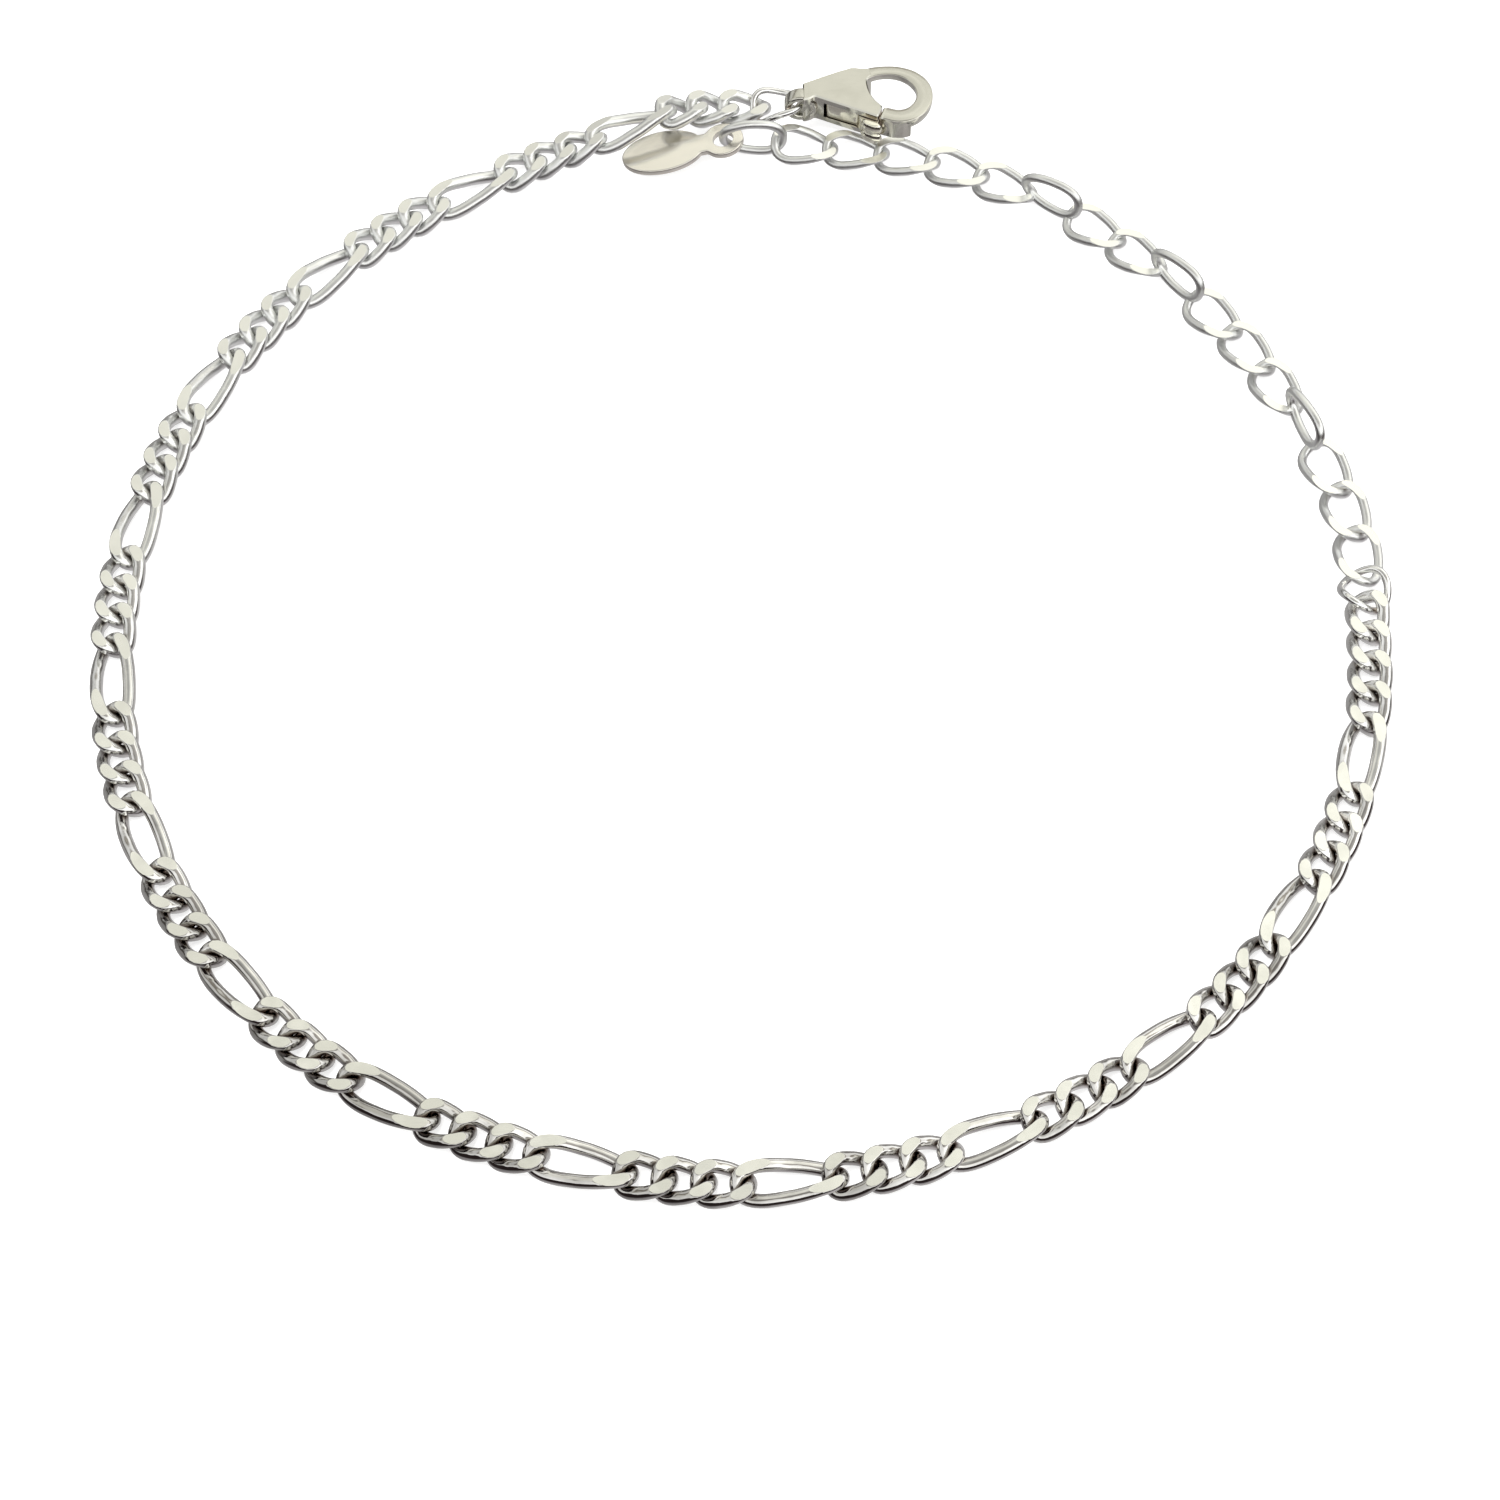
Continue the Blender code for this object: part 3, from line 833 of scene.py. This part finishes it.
def extension_chain(to_frame, materials):
    size = (OPEN_PITCH, OPEN_WIRE, OPEN_WIDTH)
    flat = link_mesh("open_link", *size, OPEN_TWIST, OPEN_HEIGHT, OPEN_STEPS, THIN_SIDES)
    plain = link_mesh("edge_link", *size, EDGE_TWIST, OPEN_HEIGHT, OPEN_STEPS, THIN_SIDES)
    upright = math.radians(90.0)
    joints = joints_along(smooth_route(OPEN_ROUTE), [OPEN_PITCH] * OPEN_LINKS)
    uneven = random.Random(OPEN_SEED)
    placed = []
    for index in range(OPEN_LINKS):
        start, end = joints[index], joints[index + 1]
        roll = uneven.uniform(-LEAN, LEAN)
        if index in EDGE_LINKS:
            lift = Vector((0.0, 0.0, OPEN_WIDTH / 2 - (start.z + end.z) / 2))
            placed.append((plain, to_frame @ link_place(start + lift, end + lift, upright)))
        else:
            placed.append((flat, to_frame @ link_place(start, end, roll)))
    mesh = joined("extension_links", placed, uneven, OPEN_SATIN)
    add_piece("extension_links", mesh, materials, "bracelet", "extension_silver", "extension_chain")
    return joints


def connector_ring(to_frame, material, figaro_start, open_start):
    shape = bmesh.new()
    path = oval_points(2 * CONNECTOR_RADIUS, 2 * CONNECTOR_RADIUS, CONNECTOR_TWIST, RING_STEPS, CIRCLE_POWER)
    sweep(shape, path, circle_section(CONNECTOR_WIRE / 2, THIN_SIDES), True)
    mesh = to_mesh(shape, "connector", to_frame @ link_place(figaro_start, open_start))
    add_piece("connector", mesh, [material], "bracelet", "extension_silver", "connector_ring")


def jump_ring(to_frame, material, figaro_end):
    eye = CLASP_PLACE + Vector((*EYE_CENTRE, 0.0))
    along = (eye - figaro_end).normalized()
    centre = eye - along * JUMP_RADIUS
    centre.z += JUMP_LIFT
    path = []
    for index in range(JUMP_STEPS):
        angle = 2 * math.pi * index / JUMP_STEPS
        share = 0.5 - 0.5 * math.cos(angle)
        twist = JUMP_EYE_TWIST + (JUMP_TWIST - JUMP_EYE_TWIST) * share
        height = -twist * math.sin(2 * angle)
        path.append(Vector((JUMP_RADIUS * math.cos(angle), JUMP_SIDE_RADIUS * math.sin(angle), height)))
    shape = bmesh.new()
    sweep(shape, path, circle_section(JUMP_WIRE / 2, THIN_SIDES), True)
    mesh = to_mesh(shape, "jump", to_frame @ link_place(centre - along * MM, centre + along * MM, JUMP_ROLL))
    add_piece("jump", mesh, [material], "bracelet", "extension_silver", "jump_ring")


def hook_section():
    """A flat top with rounded shoulders and a deep round underside, one millimetre wide."""
    section = list(HOOK_SHOULDER)
    below = HOOK_DEPTH / MM - HOOK_SHOULDER_DEPTH
    for step in range(1, HOOK_SIDES):
        angle = math.pi * step / HOOK_SIDES
        cosine, sine = math.cos(angle), math.sin(angle)
        u = 0.5 * math.copysign(abs(cosine) ** (2 / HOOK_SIDE_POWER), cosine)
        v = -HOOK_SHOULDER_DEPTH - below * abs(sine) ** (2 / HOOK_UNDER_POWER)
        section.append((u, v))
    section += [(-u, v) for u, v in reversed(HOOK_SHOULDER)]
    return [(u * MM, v * MM) for u, v in section]


def hook_mesh():
    dense = smooth_route(HOOK_PATH, HOOK_STEPS)[:-1]
    widths = [place.z / MM for place in dense]
    path = [Vector((place.x, place.y, HOOK_TOP)) for place in dense]
    shape = bmesh.new()
    sweep(shape, path, hook_section(), False, widths)
    bmesh.ops.recalc_face_normals(shape, faces=shape.faces)
    return to_mesh(shape, "hook")


def clasp(to_frame, material):
    place = to_frame @ Matrix.Translation(CLASP_PLACE)
    plates_outline = rounded(PLATES_OUTLINE, CLASP_ROUNDING)
    plates = to_mesh(plate_shape(plates_outline, CLASP_THICKNESS, PLATES_BEVEL, 1), "plates")
    slot = to_mesh(plate_shape(rounded(SLOT_OUTLINE, SLOT_ROUNDING), SLOT_HEIGHT, SLOT_BEVEL), "slot")
    tip_place = Matrix.Translation((0.0, 0.0, HOOK_TOP - TIP_SINK - TIP_HEIGHT / 2))
    tip_outline = rounded(TIP_OUTLINE, CLASP_ROUNDING)
    tip = to_mesh(plate_shape(tip_outline, TIP_HEIGHT, TIP_BEVEL, 1), "tip", tip_place)
    eye_place = Matrix.Translation((*EYE_CENTRE, 0.0)) @ Matrix.Rotation(math.radians(90.0), 4, "X")
    eye = turned_ring(EYE_RADIUS, EYE_HOLE, EYE_WIDTH, EYE_BEVEL, eye_place)
    eye_hole = cylinder(EYE_HOLE, 4 * EYE_WIDTH, TURNED_SIDES, eye_place)
    pin_length = (CLASP_THICKNESS + SLOT_HEIGHT) / 2
    pin = cylinder(PIN_RADIUS, pin_length, PIN_SIDES, Matrix.Translation((*PIVOT, 0.0)))
    mesh = combined(
        "clasp",
        plates,
        [
            ("DIFFERENCE", slot),
            ("DIFFERENCE", eye_hole),
            ("UNION", eye),
            ("UNION", pin),
            ("UNION", hook_mesh()),
            ("UNION", tip),
        ],
    )
    mesh.transform(place)
    shade_smooth(mesh)
    add_piece("clasp", mesh, [material], "bracelet", "clasp_silver", "clasp_body")


def lever(to_frame, material):
    place = to_frame @ Matrix.Translation(CLASP_PLACE)
    boss = []
    for step in range(BOSS_STEPS + 1):
        angle = BOSS_START + BOSS_TURN * step / BOSS_STEPS
        place_on_rim = Vector(PIVOT) + Vector((math.cos(angle), math.sin(angle))) * LEVER_BOSS
        boss.append(tuple(place_on_rim / MM))
    outline = rounded(list(NOSE_OUTLINE) + boss, LEVER_ROUNDING)
    hole = cylinder(LEVER_HOLE, 4 * LEVER_THICKNESS, PIN_SIDES, Matrix.Translation((*PIVOT, 0.0)))
    steps = [("DIFFERENCE", hole)]
    pad_outline = rounded(TAB_OUTLINE, TAB_ROUNDING)
    for middle in TAB_PADS:
        pad = pad_shape(pad_outline, TAB_PAD_THICKNESS, TAB_PAD_INSET)
        steps.append(("UNION", to_mesh(pad, "pad", Matrix.Translation((0.0, 0.0, middle)))))
    centre = sum(pad_outline, Vector((0.0, 0.0))) / len(pad_outline)
    waist_outline = [centre + (point - centre) * TAB_WAIST_SCALE for point in pad_outline]
    steps.append(("UNION", to_mesh(plate_shape(waist_outline, TAB_WAIST, 0.0), "waist")))
    nose = to_mesh(plate_shape(outline, LEVER_THICKNESS, LEVER_BEVEL), "nose")
    mesh = combined("lever", nose, steps)
    mesh.transform(place)
    shade_smooth(mesh)
    add_piece("thumb_lever", mesh, [material], "lever", "lever_silver", "clasp_lever")


def tag_half_width(along):
    ring = math.sqrt(max(0.0, TAG_RING ** 2 - along ** 2))
    oval_place = (along - TAG_OVAL_CENTRE) / (TAG_OVAL_LENGTH / 2)
    oval = TAG_OVAL_WIDTH / 2 * math.sqrt(max(0.0, 1.0 - oval_place ** 2))
    neck = TAG_NECK if 0.0 < along < TAG_OVAL_CENTRE else 0.0
    return max(ring, oval, neck)


def tag(to_frame, material):
    start = -TAG_RING
    end = TAG_OVAL_CENTRE + TAG_OVAL_LENGTH / 2
    upper = []
    for index in range(1, TAG_STEPS):
        along = start + (end - start) * (1 - math.cos(math.pi * index / TAG_STEPS)) / 2
        upper.append((along, tag_half_width(along)))
    outline = [(start, 0.0)] + upper + [(end, 0.0)] + [(along, -half) for along, half in reversed(upper)]
    plate = to_mesh(plate_shape(outline, TAG_THICKNESS, TAG_BEVEL, 4), "tag_plate")
    hole = cylinder(TAG_HOLE, 4 * TAG_THICKNESS, TURNED_SIDES, Matrix.Identity(4))
    mesh = combined("tag", plate, [("DIFFERENCE", hole)])
    dip = math.atan2(TAG_LIFT, end)
    height = TAG_LIFT + TAG_THICKNESS / 2
    place = Matrix.Translation((*TAG_HOLE_PLACE, height)) @ Matrix.Rotation(TAG_TURN, 4, "Z")
    mesh.transform(to_frame @ place @ Matrix.Rotation(dip, 4, "Y"))
    shade_smooth(mesh)
    piece = add_piece("tag", mesh, [material], "bracelet", "tag_silver", "end_tag")
    soften(piece, TAG_SOFTENING)


def map_range(nodes, value, low, high, to_low=0.0, to_high=1.0):
    """A node that maps the socket's value from one range to another."""
    node = nodes.new("ShaderNodeMapRange")
    node.inputs["From Min"].default_value = low
    node.inputs["From Max"].default_value = high
    node.inputs["To Min"].default_value = to_low
    node.inputs["To Max"].default_value = to_high
    node.id_data.links.new(value, node.inputs["Value"])
    return node


def noise(nodes, vector, scale, detail):
    """A noise texture over the socket's coordinates. Its scale is per metre on a piece."""
    node = nodes.new("ShaderNodeTexNoise")
    node.inputs["Scale"].default_value = scale
    node.inputs["Detail"].default_value = detail
    node.id_data.links.new(vector, node.inputs["Vector"])
    return node


def bump(nodes, height, distance):
    node = nodes.new("ShaderNodeBump")
    node.inputs["Strength"].default_value = 1.0
    node.inputs["Distance"].default_value = distance
    node.id_data.links.new(height, node.inputs["Height"])
    return node


def attribute(nodes, name):
    node = nodes.new("ShaderNodeAttribute")
    node.attribute_name = name
    return node


def silver(name, colour, shade, back_painted_light, crease_tarnish_and_shade, roughness, spread, dent):
    """Polished silver: a cloudy tone that differs from link to link, with painted light and shade by each
    link's place and a flatter painted colour at the back, tarnish and painted shade in the creases, and fine
    wear.

    A piece without the two link attributes reads zero for them: its own colour and its full polish.
    """
    material = bpy.data.materials.new(name)
    material.use_nodes = True
    nodes = material.node_tree.nodes
    links = material.node_tree.links
    shader = nodes["Principled BSDF"]
    shader.inputs["Metallic"].default_value = 1.0

    place = nodes.new("ShaderNodeTexCoord")
    clouds = noise(nodes, place.outputs["Object"], CLOUD_SCALE, 4.0)
    cloudy = map_range(nodes, clouds.outputs["Fac"], *NOISE_RANGE, -CLOUD_TONE, CLOUD_TONE)
    # The link's tone holds a painted light and shade by its place
    link_tone_and_painted_light = attribute(nodes, "tone_and_painted_light")
    both = nodes.new("ShaderNodeMath")
    both.operation = "ADD"
    both.use_clamp = True
    links.new(cloudy.outputs["Result"], both.inputs[0])
    links.new(link_tone_and_painted_light.outputs["Fac"], both.inputs[1])
    tone_and_painted_light = nodes.new("ShaderNodeMix")
    tone_and_painted_light.data_type = "RGBA"
    tone_and_painted_light.inputs[6].default_value = (*colour, 1.0)
    tone_and_painted_light.inputs[7].default_value = (*shade, 1.0)
    links.new(both.outputs["Value"], tone_and_painted_light.inputs["Factor"])
    # Painted light and shade: the links at the back are mixed toward one even colour, with less contrast
    satin_and_painted_light = attribute(nodes, "satin")
    back_painted_colour = nodes.new("ShaderNodeMix")
    back_painted_colour.data_type = "RGBA"
    back_painted_colour.inputs[7].default_value = (*back_painted_light, 1.0)
    links.new(satin_and_painted_light.outputs["Fac"], back_painted_colour.inputs["Factor"])
    links.new(tone_and_painted_light.outputs[2], back_painted_colour.inputs[6])

    # Tarnish and painted shade in the creases: the colour goes darker where the wire's surroundings are
    # hidden nearby, less so on the links at the back
    crease_shade = nodes.new("ShaderNodeAmbientOcclusion")
    crease_shade.samples = CREASE_SAMPLES
    crease_shade.inputs["Distance"].default_value = CREASE_REACH
    depth = map_range(nodes, crease_shade.outputs["AO"], *CREASE_RANGE)
    lift = nodes.new("ShaderNodeMath")
    lift.operation = "MULTIPLY"
    lift.inputs[1].default_value = BACK_CREASE_SHADE_LIFT
    links.new(satin_and_painted_light.outputs["Fac"], lift.inputs[0])
    links.new(lift.outputs["Value"], depth.inputs["To Min"])
    tarnish_and_shade = nodes.new("ShaderNodeMix")
    tarnish_and_shade.data_type = "RGBA"
    tarnish_and_shade.inputs[6].default_value = (*crease_tarnish_and_shade, 1.0)
    links.new(depth.outputs["Result"], tarnish_and_shade.inputs["Factor"])
    links.new(back_painted_colour.outputs[2], tarnish_and_shade.inputs[7])
    links.new(tarnish_and_shade.outputs[2], shader.inputs["Base Color"])

    polish = map_range(nodes, clouds.outputs["Fac"], *NOISE_RANGE, roughness, roughness + spread)
    satin = nodes.new("ShaderNodeMath")
    satin.operation = "MULTIPLY_ADD"
    satin.inputs[1].default_value = SATIN_ROUGHNESS
    links.new(satin_and_painted_light.outputs["Fac"], satin.inputs[0])
    links.new(polish.outputs["Result"], satin.inputs[2])
    links.new(satin.outputs["Value"], shader.inputs["Roughness"])

    stretch = nodes.new("ShaderNodeMapping")
    stretch.inputs["Scale"].default_value = (1.0, SCRATCH_STRETCH, 1.0)
    stretch.inputs["Rotation"].default_value = (0.0, 0.0, SCRATCH_TURN)
    links.new(place.outputs["Object"], stretch.inputs["Vector"])
    scratches = noise(nodes, stretch.outputs["Vector"], SCRATCH_SCALE, 3.0)
    scratched = bump(nodes, scratches.outputs["Fac"], SCRATCH_DEPTH)
    dents = noise(nodes, place.outputs["Object"], DENT_SCALE, 1.0)
    dented = bump(nodes, dents.outputs["Fac"], dent)
    links.new(scratched.outputs["Normal"], dented.inputs["Normal"])
    links.new(dented.outputs["Normal"], shader.inputs["Normal"])
    return material


def glowing(name, shade, specular, glow):
    """A pale material that gives off some light of its own."""
    material = bpy.data.materials.new(name)
    material.use_nodes = True
    shader = material.node_tree.nodes["Principled BSDF"]
    shader.inputs["Base Color"].default_value = (shade, shade, shade, 1.0)
    shader.inputs["Roughness"].default_value = PAPER_ROUGHNESS
    shader.inputs["Specular IOR Level"].default_value = specular
    shader.inputs["Emission Color"].default_value = (1.0, 1.0, 1.0, 1.0)
    shader.inputs["Emission Strength"].default_value = glow
    return material


def floor(centre):
    """White paper that reaches far enough for the low views."""
    shape = bmesh.new()
    bmesh.ops.create_grid(shape, x_segments=1, y_segments=1, size=FLOOR_REACH)
    mesh = to_mesh(shape, "floor")
    mesh.materials.append(glowing("white_paper", FLOOR_SHADE, FLOOR_SPECULAR, FLOOR_GLOW))
    ground = bpy.data.objects.new("floor", mesh)
    ground.location = (centre.x, centre.y, 0.0)
    ground.visible_glossy = False
    bpy.context.scene.collection.objects.link(ground)


def backdrop(centre):
    """A pale dome round the floor that only the camera sees."""
    shape = bmesh.new()
    bmesh.ops.create_uvsphere(shape, u_segments=48, v_segments=24, radius=BACKDROP_RADIUS)
    mesh = to_mesh(shape, "backdrop")
    mesh.materials.append(glowing("pale_wall", 0.0, 0.0, BACKDROP_GLOW))
    dome = bpy.data.objects.new("backdrop", mesh)
    dome.location = (centre.x, centre.y, 0.0)
    dome.visible_glossy = False
    dome.visible_diffuse = False
    dome.visible_transmission = False
    dome.visible_shadow = False
    bpy.context.scene.collection.objects.link(dome)


def camera(target):
    data = bpy.data.cameras.new("camera")
    data.lens = CAMERA_LENS
    data.sensor_width = CAMERA_SENSOR
    data.clip_start = CAMERA_NEAREST
    data.clip_end = CAMERA_FARTHEST
    view = bpy.data.objects.new("camera", data)
    back = Vector((0.0, -math.cos(CAMERA_ELEVATION), math.sin(CAMERA_ELEVATION)))
    view.location = target + back * CAMERA_DISTANCE
    aim = (-back).to_track_quat("-Z", "Y").to_matrix().to_4x4()
    view.rotation_euler = (aim @ Matrix.Rotation(CAMERA_ROLL, 4, "Z")).to_euler()
    bpy.context.scene.collection.objects.link(view)
    bpy.context.scene.camera = view


def ramp_of(nodes, stops):
    """A colour ramp over how far upward a direction points."""
    ramp = nodes.new("ShaderNodeValToRGB")
    marks = ramp.color_ramp.elements
    marks.remove(marks[1])
    for index, (upward, colour) in enumerate(stops):
        mark = marks[0] if index == 0 else marks.new(0.5 + upward / 2)
        mark.position = 0.5 + upward / 2
        mark.color = (*colour, 1.0)
    return ramp


def studio_world():
    """A light tent: bright and dark bands on a front and a back wall, brighter on the right, and cloudy."""
    world = bpy.data.worlds.new("studio")
    bpy.context.scene.world = world
    world.use_nodes = True
    nodes = world.node_tree.nodes
    links = world.node_tree.links
    background = nodes["Background"]
    place = nodes.new("ShaderNodeTexCoord")
    split = nodes.new("ShaderNodeSeparateXYZ")
    links.new(place.outputs["Generated"], split.inputs["Vector"])

    height = map_range(nodes, split.outputs["Z"], -1.0, 1.0)
    side = map_range(nodes, split.outputs["Y"], -WALLS_MEET, WALLS_MEET)
    side.interpolation_type = "SMOOTHSTEP"
    walls = nodes.new("ShaderNodeMix")
    walls.data_type = "RGBA"
    links.new(side.outputs["Result"], walls.inputs["Factor"])
    for stops, socket in ((FRONT_WALL, walls.inputs[6]), (BACK_WALL, walls.inputs[7])):
        ramp = ramp_of(nodes, stops)
        links.new(height.outputs["Result"], ramp.inputs["Fac"])
        links.new(ramp.outputs["Color"], socket)

    clouds = noise(nodes, place.outputs["Generated"], TENT_CLOUD_SCALE, 2.0)
    cloudy = map_range(nodes, clouds.outputs["Fac"], *TENT_CLOUD_RANGE, *TENT_CLOUDS)
    rightward = map_range(nodes, split.outputs["X"], *TENT_SIDE_RANGE, *TENT_SIDES)
    strength = nodes.new("ShaderNodeMath")
    strength.operation = "MULTIPLY"
    links.new(cloudy.outputs["Result"], strength.inputs[0])
    links.new(rightward.outputs["Result"], strength.inputs[1])
    links.new(walls.outputs[2], background.inputs["Color"])
    links.new(strength.outputs["Value"], background.inputs["Strength"])


def roof_light(centre):
    """A square area light that gives the soft shadows. The metal doesn't mirror it."""
    data = bpy.data.lights.new("roof", "AREA")
    data.size = ROOF_SIZE
    data.energy = ROOF_POWER
    light = bpy.data.objects.new("roof", data)
    light.location = centre + ROOF_PLACE
    light.rotation_euler = (centre - light.location).to_track_quat("-Z", "Y").to_euler()
    light.visible_glossy = False
    bpy.context.scene.collection.objects.link(light)


def main():
    for item in list(bpy.data.objects):
        bpy.data.objects.remove(item)
    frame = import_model()

    hinge = Vector(frame["joints"][0]["pos_m"])
    shift = hinge - (CLASP_PLACE + Vector((*PIVOT, 0.0)))
    to_frame = Matrix.Translation(shift)

    open_wire = silver(**OPEN_WIRE_SILVER)
    figaro_joints = figaro_chain(to_frame, [silver(**FIGARO_WIRE_SILVER), silver(**FIGARO_FLAT_SILVER)])
    open_joints = extension_chain(to_frame, [open_wire, silver(**OPEN_FLAT_SILVER)])
    connector_ring(to_frame, open_wire, figaro_joints[0], open_joints[0])
    jump_ring(to_frame, open_wire, figaro_joints[-1])
    clasp(to_frame, silver(**CLASP_SILVER))
    lever(to_frame, silver(**LEVER_SILVER))
    tag(to_frame, silver(**TAG_SILVER))

    floor(shift)
    backdrop(shift)
    camera(shift)
    studio_world()
    roof_light(shift)
    bpy.context.scene.view_settings.view_transform = "Standard"


main()
